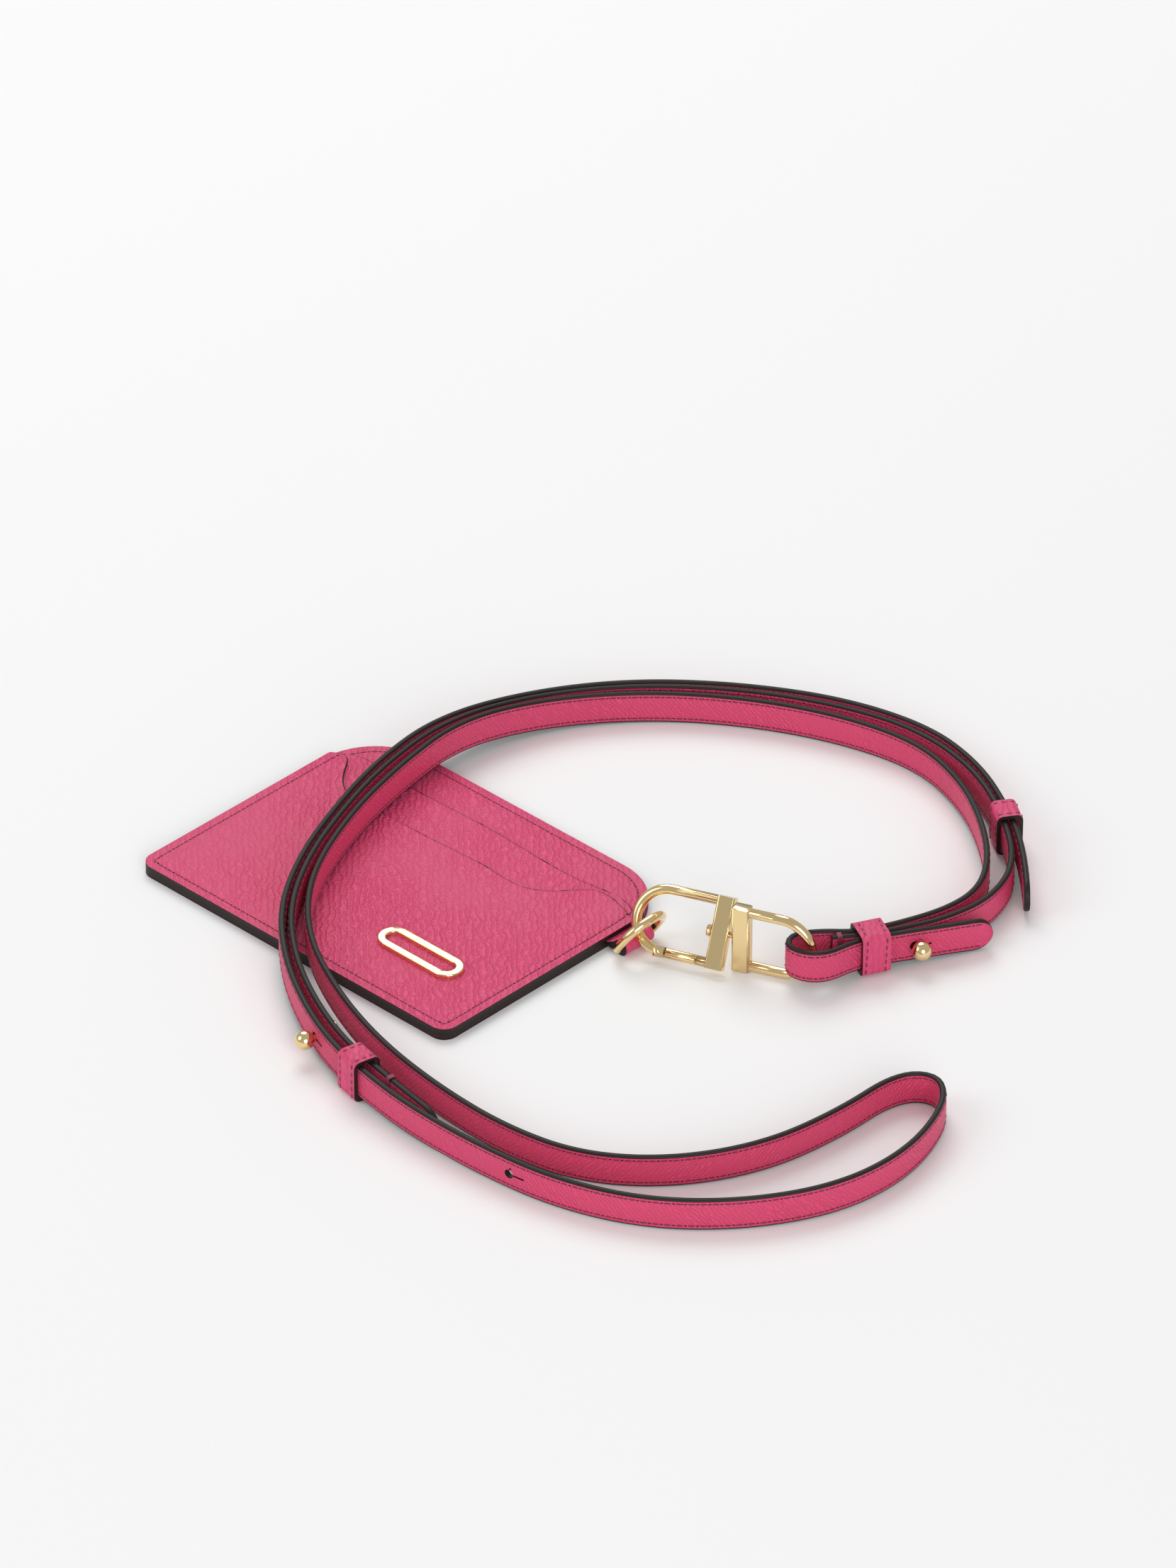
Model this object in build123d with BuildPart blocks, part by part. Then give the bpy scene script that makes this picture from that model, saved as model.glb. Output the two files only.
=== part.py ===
"""Wristlet wallet: flat card holder, tab with ring, snap hook clasp and a long strap held by two ball studs.

Millimetres. +Z up, the wallet lies on its back. Origin: centre of the wallet's footprint on the
table. +X along the wallet's long side towards the tab, +Y towards the mouth of the card slots.
"""
import os
from math import pi, tan
from build123d import *

# ---- driving dimensions -------------------------------------------------------------------
WALLET_L, WALLET_W = 108.0, 84.4      # long side, short side
MOUTH_R, BASE_R = 19.0, 4.0           # corner radii at the mouth and at the base
PANEL_T = 0.8                         # leather panel
SLOT_T = 0.4                          # skived leather of the slot panels
LINING_T = 0.25                       # fabric lining
DIVIDER_T = 0.5                       # leather divider between the two middle pockets
PLY_GAP = 0.02                        # air between the plies
UPPER_SLOT_Y = WALLET_W / 2 - 12.7    # straight run of the upper slot's mouth
LOWER_SLOT_Y = WALLET_W / 2 - 26.2    # scooped run of the lower slot's mouth
SHOULDER_Y = WALLET_W / 2 - 14.7      # where both mouths meet the side seams
SCOOP_X0 = -WALLET_L / 2 + 15.0       # ends of the lower slot's straight run
SCOOP_X1 = WALLET_L / 2 - 28.0

EMBLEM_L, EMBLEM_W, EMBLEM_T = 27.0, 8.6, 1.3
EMBLEM_AT = (WALLET_L / 2 - 27.5, -WALLET_W / 2 + 19.6)
EMBLEM_RIM = 2.2                      # metal beside the emblem's open slot
PRONG_D, PRONG_L = 1.2, 1.0
PRONG_REACH = (EMBLEM_L - EMBLEM_RIM) / 2

STRAP_W, STRAP_T = 9.0, 1.6           # strap stands on its edge
KEEPER_W, KEEPER_T = 7.5, 1.0         # keeper loops
KEEPER_PLAY = 0.35                    # air between keeper and strap edges
BALL_D, STUD_PIN_D, STUD_BASE_D, STUD_BASE_T = 5.0, 2.2, 6.4, 0.7
STUD_HOLE_D, SLIT_L, SLIT_W = 2.4, 4.5, 0.5

TAB_W, TAB_T = 10.0, 1.0
TAB_Y = WALLET_W / 2 - 21.7           # tab's middle
TAB_ROOT = 8.0                        # length sewn into the wallet
RING_WIRE, RING_W, RING_D = 2.3, 16.0, 13.0
RING_X = WALLET_L / 2 + 4.9           # ring's bar, just clear of the wallet's end
RING_TILT = 57.0                      # tilt of the ring above the table
RING_PLAY = 0.06

CLASP_W, CLASP_WIRE = 18.5, 2.6       # both D halves
CLASP_TURN = 22.5                     # heading of the clasp from +X
HOOK_TILT = 32.0                      # hook leans back from upright
HOOK_L, EYE_L = 26.5, 22.6            # swivel to the far end of each half
BAR_W, BAR_T, BAR_EDGE = 4.6, 3.2, 0.5    # flat cross bar
SWIVEL_AT = (RING_X + 23.3, TAB_Y + 10.7, CLASP_W / 2 + 0.2)
SWIVEL_D, SWIVEL_PLAY = 1.6, 0.05
GATE_X0, GATE_X1 = 17.6, 8.0          # gate's pivot and latch end, from the swivel
GATE_PLAY = 0.30
TONGUE_T, GATE_PIN_D = 1.1, 1.0

# ---- strap routes: centre line, then the height of the strap's lower edge ------------------
LONG_ROUTE = [
    (123.2, 82.6, 0.0), (118.0, 72.0, 0.7), (112.3, 61.0, 1.4), (107.0, 50.7, 1.7),
    (106.7, 37.9, 3.1), (98.4, 34.0, 3.3), (94.6, 39.3, 3.2), (98.6, 46.4, 2.6),
    (104.2, 52.5, 1.9), (108.6, 62.6, 1.4), (112.8, 77.0, 0.8), (112.6, 89.2, 0.6), (105.4, 101.0, 0.9),
    (93.4, 111.4, 1.4), (77.4, 121.6, 0.6), (58.0, 127.6, 0.0), (36.7, 123.9, 0.0),
    (13.6, 113.6, 0.0), (-8.4, 97.4, 0.0), (-25.0, 75.0, 0.8), (-31.2, 50.0, 3.5),
    (-27.6, 24.6, 3.8), (-20.9, -0.6, 3.8), (-9.0, -26.4, 3.8), (8.4, -44.4, 3.6),
    (29.4, -55.0, 2.2), (51.0, -61.6, 1.0), (74.0, -64.6, 0.2), (97.4, -65.0, 0.0),
    (118.6, -60.4, 0.0), (136.0, -46.4, 0.0), (147.6, -26.0, 0.0), (151.2, -3.4, 0.0),
    (150.8, 17.6, 0.0), (159.0, 24.4, 0.0), (168.0, 16.4, 0.0), (174.4, -3.6, 0.0),
    (172.4, -25.4, 0.0), (161.0, -46.0, 0.0), (143.6, -62.6, 0.0), (121.8, -72.0, 0.0),
    (98.0, -75.2, 0.2), (75.0, -76.0, 0.9), (57.6, -74.0, 1.4), (41.0, -70.0, 1.2),
    (24.0, -62.6, 1.8), (8.6, -53.0, 3.0), (-5.8, -39.6, 3.8), (-17.6, -20.6, 3.8),
    (-25.8, -0.6, 3.8), (-32.8, 21.4, 3.8), (-36.2, 46.4, 3.5), (-31.0, 73.0, 0.8),
    (-16.6, 96.6, 0.0), (4.6, 115.0, 0.0), (29.0, 129.0, 0.0), (54.0, 135.0, 0.0),
    (75.0, 130.6, 0.5), (93.6, 120.6, 1.4), (110.0, 109.4, 1.0), (122.0, 97.0, 0.6)]
SHORT_ROUTE = [
    (102.2, 46.2, 2.3), (106.9, 53.5, 1.9), (111.0, 62.8, 1.4), (115.4, 73.0, 1.0),
    (117.6, 88.5, 0.7), (111.6, 104.2, 1.0), (94.4, 118.0, 1.4), (74.6, 128.4, 0.6),
    (53.2, 131.8, 0.1), (32.4, 127.0, 0.0), (8.6, 115.0, 0.0), (-14.0, 96.4, 0.0),
    (-29.0, 73.0, 0.8), (-33.8, 47.0, 3.5), (-30.4, 21.4, 3.8), (-23.4, -1.0, 3.8),
    (-15.0, -21.0, 3.8), (-3.2, -39.0, 3.8), (11.0, -51.6, 3.0), (26.0, -60.2, 1.8),
    (43.0, -67.2, 1.2), (60.0, -70.9, 1.4), (72.0, -72.6, 1.0), (83.0, -74.0, 0.6)]
# what sits on the short strap: distance along it, then offset towards the outer layer
THREAD_AT = {"thread_tie_clasp": 2.0, "thread_tie_wrist": 427.0}
KEEPERS = {"keeper_clasp": (10.2, 0.1, 7.1), "keeper_tip": (82.5, 1.25, 4.9),
           "keeper_wrist": (415.5, 1.65, 5.6)}        # ... and the clear width inside
SPARE_HOLES = (765.0, )               # along the long strap
STUDS = {"stud_clasp": (21.6, 5.9), "stud_wrist": (398.0, 6.9)}     # ... and the ball's reach


def fillet_radii(points):
    """Radius at each inner point: 0.45 of the shorter run over the tangent of half the turn."""
    radii = []
    for a, b, c in zip(points, points[1:], points[2:]):
        u, v = Vector(*b) - Vector(*a), Vector(*c) - Vector(*b)
        turn = u.get_angle(v) * pi / 180
        radii.append(round(0.45 * min(u.length, v.length) / tan(turn / 2), 2))
    return radii


def strap_path(route, name):
    """Centre line: straight runs joined by tangent arcs."""
    points = [(x, y, z + STRAP_W / 2) for x, y, z in route]
    radii = fillet_radii(points)
    print(name, "radii", radii)
    with BuildLine(mode=Mode.PRIVATE) as path:
        FilletPolyline(*points, radius=radii)
    return path.wires()[0]


def strap_solid(route, path, name):
    """Flat strap on its edge, swept along its centre line."""
    points = [(x, y, z + STRAP_W / 2) for x, y, z in route]
    start = Vector(*points[1]) - Vector(*points[0])
    flat = Vector(start.X, start.Y, 0).normalized()
    frame = Plane(origin=points[0], x_dir=(flat.Y, -flat.X, 0), z_dir=flat)
    with BuildPart(mode=Mode.PRIVATE) as strap:
        with BuildSketch(frame):
            Rectangle(STRAP_T, STRAP_W)
        sweep(path=path)
    length = path.length
    print(name, "length", round(length, 1), "volume ratio",
          round(strap.part.volume / (length * STRAP_W * STRAP_T), 4))
    return strap.part


def upright(point, along):
    """Plane with local x along the strap, local y up and local z out of the strap's right face."""
    return Plane(origin=point, x_dir=along, z_dir=along.rotate(Axis.Z, -90))


def on_strap(path, distance, offset=0.0):
    """Place on a strap: middle of its edge height, level heading, heading angle."""
    point, run = path.position_at(distance / path.length), path.tangent_at(distance / path.length)
    along = Vector(run.X, run.Y, 0).normalized()
    return point + along.rotate(Axis.Z, -90) * offset, along


def square_to_strap(path, distance, offset=0.0):
    """Plane across the strap: local x over its thickness, local y up, local z along it."""
    point, along = on_strap(path, distance, offset)
    return Plane(origin=point, x_dir=along.rotate(Axis.Z, -90), z_dir=along)


def tip_cut(end, before):
    """Everything outside the rounded end of a strap."""
    along = Vector(end[0] - before[0], end[1] - before[1], 0).normalized()
    with BuildPart(mode=Mode.PRIVATE) as cut:
        with BuildSketch(upright((end[0], end[1], end[2] + STRAP_W / 2), along)):
            Rectangle(STRAP_W, STRAP_W + 2)
            with Locations((-STRAP_W / 2, 0)):
                Circle(STRAP_W / 2, mode=Mode.SUBTRACT)
        extrude(amount=3.2, both=True)
    return cut.part


def stud_cut(point, along, slit_side=-1):
    """Pin hole with its slit, through the strap that buttons over a stud."""
    with BuildPart(mode=Mode.PRIVATE) as cut:
        with BuildSketch(upright(point, along)):
            Circle(STUD_HOLE_D / 2)
            with Locations((slit_side * SLIT_L / 2, 0)):
                Rectangle(SLIT_L, SLIT_W)
        extrude(amount=1.9, both=True)
    return cut.part


def save(part, name):
    part.label = name
    export_step(part, f"parts/{name}.step")


os.makedirs("parts", exist_ok=True)

# ---- wallet --------------------------------------------------------------------------------
HALF_L, HALF_W = WALLET_L / 2, WALLET_W / 2
z_ply = {}
level = 0.0
for ply, thick in (("back_panel", PANEL_T), ("back_lining", LINING_T), ("pocket_divider", DIVIDER_T),
                   ("front_lining", LINING_T), ("base_panel", PANEL_T)):
    z_ply[ply] = (level, thick)
    level += thick + PLY_GAP
z_ply["upper_slot_panel"] = (level, SLOT_T)
level += SLOT_T + PLY_GAP
z_ply["lower_slot_panel"] = (level, SLOT_T)
WALLET_T = level + SLOT_T


def wallet_face(inset=0.0, mouth_drop=0.0):
    """Outline of a full ply in the table plane."""
    top = HALF_W - inset - mouth_drop
    with BuildSketch(mode=Mode.PRIVATE) as face:
        with BuildLine():
            Polyline((-HALF_L + inset, -HALF_W + inset), (HALF_L - inset, -HALF_W + inset),
                     (HALF_L - inset, top), (-HALF_L + inset, top), close=True)
        make_face()
        fillet(face.vertices().group_by(Axis.Y)[0], BASE_R)
        fillet(face.vertices().group_by(Axis.Y)[-1], MOUTH_R)
    return face.sketch


def slot_face(mouth):
    """Full outline cut off along a slot mouth given as points from the left seam to the right."""
    with BuildSketch(mode=Mode.PRIVATE) as face:
        add(wallet_face())
        with BuildSketch(mode=Mode.PRIVATE) as keep:
            with BuildLine():
                edge = Spline(*mouth)
                Polyline(mouth[-1], (HALF_L + 5, mouth[-1][1]), (HALF_L + 5, -HALF_W - 5),
                         (-HALF_L - 5, -HALF_W - 5), (-HALF_L - 5, mouth[0][1]), mouth[0])
            make_face()
        add(keep.sketch, mode=Mode.INTERSECT)
    return face.sketch


upper_mouth = [(-HALF_L, SHOULDER_Y - 1.5), (-HALF_L + 9, SHOULDER_Y + 2.6), (-HALF_L + 17, UPPER_SLOT_Y),
               (0, UPPER_SLOT_Y), (HALF_L - 17, UPPER_SLOT_Y), (HALF_L - 10, SHOULDER_Y + 2.9),
               (HALF_L, SHOULDER_Y - 1.5)]
lower_mouth = [(-HALF_L, SHOULDER_Y - 2.0), (-HALF_L + 5, SHOULDER_Y - 0.4), (SCOOP_X0 - 5.6, LOWER_SLOT_Y + 6),
               (SCOOP_X0 + 1, LOWER_SLOT_Y), (SCOOP_X0 + 14, LOWER_SLOT_Y - 0.9),
               ((SCOOP_X0 + SCOOP_X1) / 2, LOWER_SLOT_Y - 0.4), (SCOOP_X1 - 13, LOWER_SLOT_Y + 0.3),
               (SCOOP_X1 - 1, LOWER_SLOT_Y + 0.6), (SCOOP_X1 + 6.6, LOWER_SLOT_Y + 6),
               (SCOOP_X1 + 13, SHOULDER_Y + 0.6), (HALF_L - 8, SHOULDER_Y + 0.4), (HALF_L, SHOULDER_Y - 2.0)]
faces = {
    "back_panel": wallet_face(), "back_lining": wallet_face(1.2, 1.5),
    "pocket_divider": wallet_face(0.6, 6.0), "front_lining": wallet_face(1.2, 1.5),
    "base_panel": wallet_face(), "upper_slot_panel": slot_face(upper_mouth),
    "lower_slot_panel": slot_face(lower_mouth)}
for ply, (z0, thick) in z_ply.items():
    with BuildPart() as panel:
        with BuildSketch(Plane.XY.offset(z0)):
            add(faces[ply])
        extrude(amount=thick)
        if ply == "base_panel":
            # shallow bed for the emblem's prongs
            with Locations(*[(EMBLEM_AT[0] + s * PRONG_REACH, EMBLEM_AT[1], z0 + thick) for s in (-1, 1)]):
                Cylinder(PRONG_D / 2 + 0.05, 2 * 0.6, mode=Mode.SUBTRACT)
        if ply in ("upper_slot_panel", "lower_slot_panel"):
            with Locations(*[(EMBLEM_AT[0] + s * PRONG_REACH, EMBLEM_AT[1], z0) for s in (-1, 1)]):
                Cylinder(PRONG_D / 2 + 0.05, 4, mode=Mode.SUBTRACT)
        if ply in ("back_lining", "pocket_divider", "front_lining"):
            # the tab's root is sewn in here, so these plies stop short of it
            with Locations((HALF_L, TAB_Y, z0 + thick / 2)):
                Box(17, TAB_W + 0.6, thick * 2, mode=Mode.SUBTRACT)
    save(panel.part, ply)

# ---- emblem ---------------------------------------------------------------------------------
with BuildPart() as emblem:
    with BuildSketch(Plane.XY.offset(WALLET_T + 0.02)):
        with Locations(EMBLEM_AT):
            SlotOverall(EMBLEM_L, EMBLEM_W)
            SlotOverall(EMBLEM_L - 2 * EMBLEM_RIM, EMBLEM_W - 2 * EMBLEM_RIM, mode=Mode.SUBTRACT)
    extrude(amount=EMBLEM_T)
    fillet(emblem.faces().sort_by(Axis.Z)[-1].edges(), 0.4)
save(emblem.part, "emblem")
for side, tag in ((-1, "left"), (1, "right")):
    with BuildPart() as prong:
        with Locations((EMBLEM_AT[0] + side * PRONG_REACH, EMBLEM_AT[1], WALLET_T + 0.01 - PRONG_L / 2)):
            Cylinder(PRONG_D / 2, PRONG_L)
    save(prong.part, f"emblem_prong_{tag}")

# ---- tab: strip folded round the ring's bar, its root sewn between the plies ------------------
LOOP_R = RING_WIRE / 2 + RING_PLAY
RING_Z = LOOP_R + TAB_T
root_z0 = z_ply["back_lining"][0]
root_z1 = z_ply["base_panel"][0] - PLY_GAP
with BuildPart() as tab:
    with BuildSketch(Plane.XZ.offset(-TAB_Y - TAB_W / 2)):
        with Locations((RING_X, RING_Z)):
            Circle(LOOP_R + TAB_T)
        with BuildLine():
            Polyline((HALF_L + 0.5, root_z0), (RING_X, 0), (RING_X, 2 * RING_Z), (HALF_L + 0.5, root_z1),
                     (HALF_L - TAB_ROOT, root_z1), (HALF_L - TAB_ROOT, root_z0), close=True)
        make_face()
        with Locations((RING_X, RING_Z)):
            Circle(LOOP_R, mode=Mode.SUBTRACT)
    extrude(amount=TAB_W)
save(tab.part, "tab")


def d_loop(width, depth, corner):
    """Closed D in local x (out) and y (across): a bar on y, arms, and a round end."""
    half = width / 2
    with BuildLine(mode=Mode.PRIVATE) as line:
        Line((0, 0), (0, half - corner))
        RadiusArc((0, half - corner), (corner, half), corner)
        Line((corner, half), (depth - half, half))
        ThreePointArc((depth - half, half), (depth, 0), (depth - half, -half))
        Line((depth - half, -half), (corner, -half))
        RadiusArc((corner, -half), (0, -half + corner), corner)
        Line((0, -half + corner), (0, 0))
    return line.wires()[0]


def d_ring(plane, width, depth, corner, wire):
    """Closed round-wire D, built flat and moved on to its plane."""
    with BuildPart(mode=Mode.PRIVATE) as body:
        with BuildSketch(Plane.XZ):
            Circle(wire / 2)
        sweep(path=d_loop(width - wire, depth - wire, corner))
    return body.part.moved(plane.location)


lean = Vector(1, 0, 0).rotate(Axis.Y, -RING_TILT)
ring_plane = Plane(origin=(RING_X, TAB_Y, RING_Z), x_dir=lean, z_dir=lean.cross(Vector(0, 1, 0)))
save(d_ring(ring_plane, RING_W, RING_D, 1.9, RING_WIRE), "tab_ring")

# ---- clasp: local x along the clasp from the swivel to the strap, local y across the D ---------
AXIS_DIR = Vector(1, 0, 0).rotate(Axis.Z, CLASP_TURN)
UP = Vector(0, 0, 1)
HOOK_UP = UP.rotate(Axis((0, 0, 0), tuple(AXIS_DIR)), -HOOK_TILT)
eye_plane = Plane(origin=SWIVEL_AT, x_dir=AXIS_DIR, z_dir=AXIS_DIR.cross(UP))
hook_plane = Plane(origin=SWIVEL_AT, x_dir=AXIS_DIR, z_dir=AXIS_DIR.cross(HOOK_UP))
ARM_Y = (CLASP_W - CLASP_WIRE) / 2
BAR_GAP = 0.5                          # half the gap between the two flat bars
HEAD_D, HEAD_T = 3.0, 1.0              # swivel's rivet head

# eye: flat bar, two arms and a round end held by the strap
with BuildPart() as eye:
    with BuildSketch(Plane.YZ.offset(BAR_GAP + BAR_W / 2)):
        with Locations((ARM_Y, 0)):
            Circle(CLASP_WIRE / 2)
    with BuildLine() as bow:
        Line((BAR_GAP + BAR_W / 2, ARM_Y), (EYE_L - CLASP_W / 2, ARM_Y))
        ThreePointArc((EYE_L - CLASP_W / 2, ARM_Y), (EYE_L - CLASP_WIRE / 2, 0),
                      (EYE_L - CLASP_W / 2, -ARM_Y))
        Line((EYE_L - CLASP_W / 2, -ARM_Y), (BAR_GAP + BAR_W / 2, -ARM_Y))
    sweep(path=bow.wires()[0])
    with BuildSketch(Plane.XZ):
        with Locations((BAR_GAP + BAR_W / 2, 0)):
            RectangleRounded(BAR_W, BAR_T, BAR_EDGE)
    extrude(amount=CLASP_W / 2, both=True)
save(eye.part.moved(eye_plane.location), "clasp_eye")

# swivel pin: fixed in the eye's bar, its head sits inside the hook's window
with BuildPart() as swivel:
    with BuildSketch(Plane.YZ.offset(BAR_GAP - 0.01)):
        Circle(SWIVEL_D / 2)
    extrude(amount=-(2 * BAR_GAP + BAR_W + 0.25))
    with BuildSketch(Plane.YZ.offset(-BAR_GAP - BAR_W - 0.2)):
        Circle(HEAD_D / 2)
    extrude(amount=-HEAD_T)
save(swivel.part.moved(eye_plane.location), "swivel_pin")

# hook body: flat bar with the swivel bore, round end, open on the near side for the gate
near_y = -ARM_Y
with BuildPart() as hook:
    with BuildSketch(Plane.YZ.offset(-BAR_GAP - BAR_W / 2)):
        with Locations((ARM_Y, 0)):
            Circle(CLASP_WIRE / 2)
    with BuildLine() as bend:
        Line((-BAR_GAP - BAR_W / 2, ARM_Y), (-HOOK_L + CLASP_W / 2, ARM_Y))
        ThreePointArc((-HOOK_L + CLASP_W / 2, ARM_Y), (-HOOK_L + CLASP_WIRE / 2, 0),
                      (-HOOK_L + CLASP_W / 2, near_y))
    sweep(path=bend.wires()[0])
    with BuildSketch(Plane.XZ):
        with Locations((-BAR_GAP - BAR_W / 2, 0)):
            RectangleRounded(BAR_W, BAR_T, BAR_EDGE)
    extrude(amount=CLASP_W / 2, both=True)
    with BuildSketch(Plane.YZ.offset(-BAR_GAP - BAR_W + 0.5)):
        with Locations((near_y, 0)):
            Circle(CLASP_WIRE / 2)
    extrude(amount=-(GATE_X1 - BAR_GAP - BAR_W + 0.5 - GATE_PLAY))
    # fork that carries the gate
    with Locations((-GATE_X0 + 0.1, near_y, 0)):
        Box(2.6, CLASP_WIRE, CLASP_WIRE)
        Box(2.9, CLASP_WIRE + 1, TONGUE_T + 0.2, mode=Mode.SUBTRACT)
    with Locations((-GATE_X0, near_y, 0)):
        Cylinder(GATE_PIN_D / 2, CLASP_WIRE + 1, mode=Mode.SUBTRACT)
    with BuildSketch(Plane.YZ):
        Circle(SWIVEL_D / 2 + SWIVEL_PLAY)
    extrude(amount=-BAR_GAP - BAR_W - 1, mode=Mode.SUBTRACT)
save(hook.part.moved(hook_plane.location), "hook_body")

# gate: closes the hook, tongue on a pin in the fork
with BuildPart() as gate:
    with BuildSketch(Plane.YZ.offset(-GATE_X0 + 1.9)):
        with Locations((near_y, 0)):
            Circle(CLASP_WIRE / 2)
    extrude(amount=GATE_X0 - 1.9 - GATE_X1)
    with Locations((-GATE_X0 + 1.0, near_y, 0)):
        Box(2.4, 1.7, TONGUE_T)
    with Locations((-GATE_X0, near_y, 0)):
        Cylinder(0.85, TONGUE_T)
        Cylinder(GATE_PIN_D / 2 + 0.05, TONGUE_T + 2, mode=Mode.SUBTRACT)
save(gate.part.moved(hook_plane.location), "gate")
with BuildPart() as gate_pin:
    with Locations((-GATE_X0, near_y, 0)):
        Cylinder(GATE_PIN_D / 2 - 0.005, CLASP_WIRE)
save(gate_pin.part.moved(hook_plane.location), "gate_pin")

# ---- straps ----------------------------------------------------------------------------------
long_path = strap_path(LONG_ROUTE, "strap_long")
short_path = strap_path(SHORT_ROUTE, "strap_short")
with BuildPart() as long_strap:
    add(strap_solid(LONG_ROUTE, long_path, "strap_long"))
    add(tip_cut(LONG_ROUTE[0], LONG_ROUTE[1]), mode=Mode.SUBTRACT)
    add(tip_cut(LONG_ROUTE[-1], LONG_ROUTE[-2]), mode=Mode.SUBTRACT)
    for distance, reach in STUDS.values():
        place, along = on_strap(short_path, distance)
        add(stud_cut(place + along.rotate(Axis.Z, -90) * (STRAP_T + 0.9), along), mode=Mode.SUBTRACT)
    for distance in SPARE_HOLES:
        place, along = on_strap(long_path, distance)
        add(stud_cut(place, along), mode=Mode.SUBTRACT)
with BuildPart() as short_strap:
    add(strap_solid(SHORT_ROUTE, short_path, "strap_short"))
    add(tip_cut(SHORT_ROUTE[-1], SHORT_ROUTE[-2]), mode=Mode.SUBTRACT)
    for distance, reach in STUDS.values():
        place, along = on_strap(short_path, distance)
        with Locations(Plane(origin=place, x_dir=UP, z_dir=along.rotate(Axis.Z, -90))):
            Cylinder(STUD_PIN_D / 2, 2.4, mode=Mode.SUBTRACT)
save(long_strap.part, "strap_long")
save(short_strap.part, "strap_short")

# ---- studs: screw base behind the short strap, neck and ball in front of the long one -----------
for name, (distance, reach) in STUDS.items():
    place, along = on_strap(short_path, distance)
    stud_plane = Plane(origin=place, x_dir=UP, z_dir=along.rotate(Axis.Z, -90))
    with BuildPart(stud_plane) as base:
        with Locations((0, 0, -STRAP_T / 2 - STUD_BASE_T / 2 - 0.05)):
            Cylinder(STUD_BASE_D / 2, STUD_BASE_T)
        fillet(base.edges().filter_by(GeomType.CIRCLE), 0.25)
    save(base.part, f"{name}_base")
    with BuildPart(stud_plane) as ball:
        with Locations((0, 0, -STRAP_T / 2 - 0.05)):
            Cylinder(STUD_PIN_D / 2, reach + STRAP_T / 2, align=(Align.CENTER, Align.CENTER, Align.MIN))
        with Locations((0, 0, reach)):
            Sphere(BALL_D / 2)
    save(ball.part, f"{name}_ball")

# ---- keepers and thread ties -------------------------------------------------------------------
for name, (distance, offset, clear) in KEEPERS.items():
    with BuildPart() as keeper:
        with BuildSketch(square_to_strap(short_path, distance, offset)):
            RectangleRounded(clear + 2 * KEEPER_T, STRAP_W + 2 * KEEPER_PLAY + 2 * KEEPER_T, 1.8)
            RectangleRounded(clear, STRAP_W + 2 * KEEPER_PLAY, 0.6, mode=Mode.SUBTRACT)
        extrude(amount=KEEPER_W / 2, both=True)
    save(keeper.part, name)
for name, distance in THREAD_AT.items():
    with BuildPart() as tie:
        with BuildSketch(square_to_strap(short_path, distance)):
            RectangleRounded(STRAP_T + 0.6, STRAP_W + 0.8, 0.4)
            RectangleRounded(STRAP_T + 0.2, STRAP_W + 0.2, 0.1, mode=Mode.SUBTRACT)
        extrude(amount=0.6, both=True)
    save(tie.part, name)
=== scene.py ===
"""Looks of the wristlet wallet: leather plies, painted edges, seams, polished clasp, straps and studs.

Metres. Same frame as the CAD: +Z up, the wallet lies on its back, +X towards the tab.
"""

from bisect import bisect_right
from math import cos, hypot, pi, radians, sin, sqrt

import bpy
from mathutils import Matrix, Vector


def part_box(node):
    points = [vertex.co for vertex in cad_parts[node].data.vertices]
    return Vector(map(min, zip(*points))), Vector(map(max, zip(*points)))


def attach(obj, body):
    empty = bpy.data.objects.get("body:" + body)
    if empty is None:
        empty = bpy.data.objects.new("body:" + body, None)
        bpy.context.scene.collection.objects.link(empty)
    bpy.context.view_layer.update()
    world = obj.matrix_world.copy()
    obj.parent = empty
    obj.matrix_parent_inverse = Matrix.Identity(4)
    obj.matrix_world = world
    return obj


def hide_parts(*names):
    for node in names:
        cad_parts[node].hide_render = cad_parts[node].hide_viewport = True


bl_info = {
    "name": "Wristlet Wallet",
    "version": (1, 0, 0),
    "blender": (4, 5, 0),
    "location": "3D View > Sidebar > Wristlet",
    "description": "Leather card wallet with a snap hook clasp and a studded strap",
    "category": "Object",
}

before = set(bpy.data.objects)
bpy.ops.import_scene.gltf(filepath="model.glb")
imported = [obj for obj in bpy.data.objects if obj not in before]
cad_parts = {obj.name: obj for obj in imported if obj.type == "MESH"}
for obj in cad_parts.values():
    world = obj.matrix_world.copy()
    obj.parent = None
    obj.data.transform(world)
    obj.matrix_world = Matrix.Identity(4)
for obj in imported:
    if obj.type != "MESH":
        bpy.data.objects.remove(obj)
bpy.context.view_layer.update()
MM = 0.001

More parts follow.
